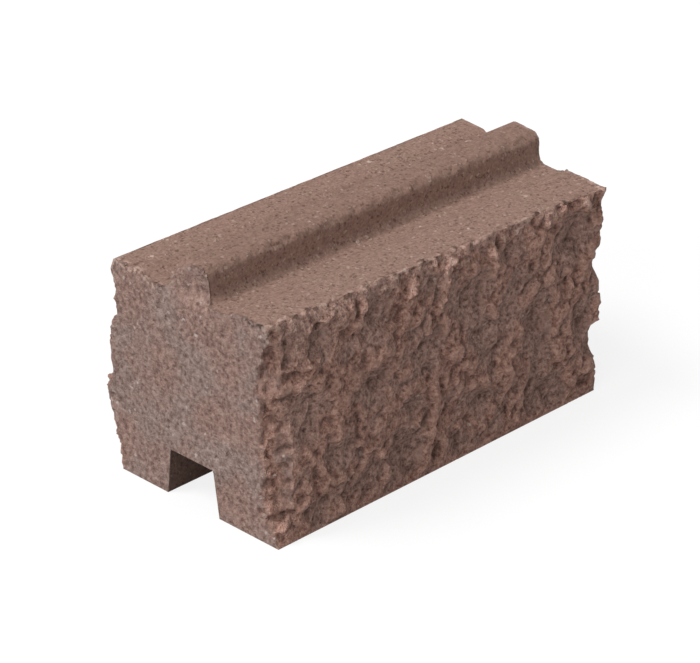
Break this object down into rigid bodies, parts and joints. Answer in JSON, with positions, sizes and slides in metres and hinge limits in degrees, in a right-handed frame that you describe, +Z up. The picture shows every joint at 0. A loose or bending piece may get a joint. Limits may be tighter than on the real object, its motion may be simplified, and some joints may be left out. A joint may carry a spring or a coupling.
{
  "type": "concrete fence block",
  "caption": "Solid concrete wall and fence block with rough split long faces, a rounded tongue along its top and a matching groove underneath, and slightly tapered ends.",
  "frame": {"origin": "centre of the block's bounding box in plan, on the ground it rests on", "axes": "+Z up, X along the block, the pictured split face towards -Y"},
  "size_m": [0.2499, 0.128, 0.1385],
  "materials": {
    "concrete": "matte, red-brown, rough split faces and pressed top"
  },
  "bodies": {
    "root": {"fence_block": "concrete"}
  },
  "joints": []
}
